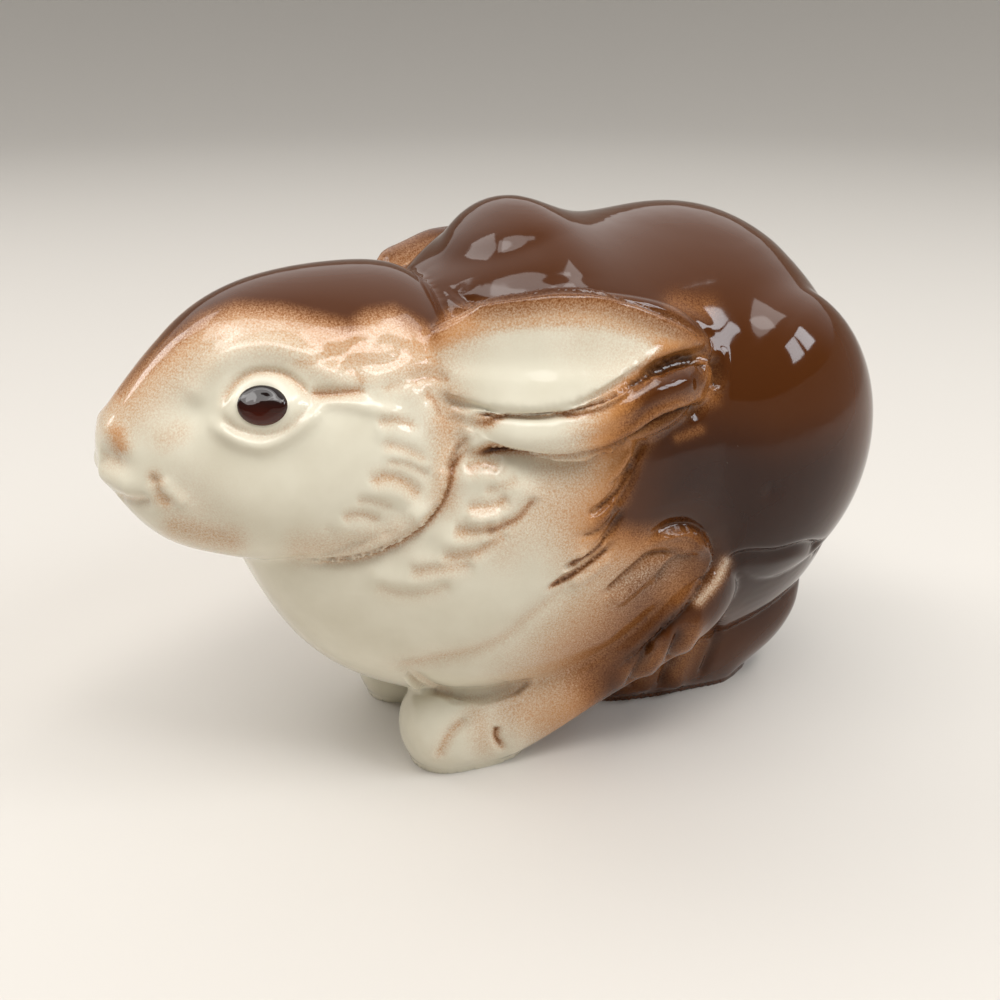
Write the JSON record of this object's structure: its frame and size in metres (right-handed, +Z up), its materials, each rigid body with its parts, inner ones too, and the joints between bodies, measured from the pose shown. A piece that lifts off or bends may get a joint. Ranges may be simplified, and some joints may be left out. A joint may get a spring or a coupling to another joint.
{
  "type": "ceramic rabbit figurine",
  "caption": "Glazed earthenware figurine of a crouching rabbit with its ears laid back, hollow cast and resting on flat paws.",
  "frame": {"origin": "on the table under the middle of the overall box", "axes": "+Z up, +Y from the nose toward the tail, +X toward the rabbit's left"},
  "size_m": [0.0664, 0.12, 0.0846],
  "materials": {
    "sprayed_glaze": "gloss",
    "cream_glaze": "gloss",
    "eye_glaze": "polished"
  },
  "bodies": {
    "root": {"torso_shell": "sprayed_glaze", "head_shell": "cream_glaze", "left_ear": "sprayed_glaze", "right_ear": "sprayed_glaze", "left_haunch": "sprayed_glaze", "right_haunch": "sprayed_glaze", "left_foreleg": "cream_glaze", "right_foreleg": "cream_glaze", "left_hind_foot": "sprayed_glaze", "right_hind_foot": "sprayed_glaze", "tail": "sprayed_glaze", "left_eye": "eye_glaze", "right_eye": "eye_glaze"}
  },
  "joints": []
}
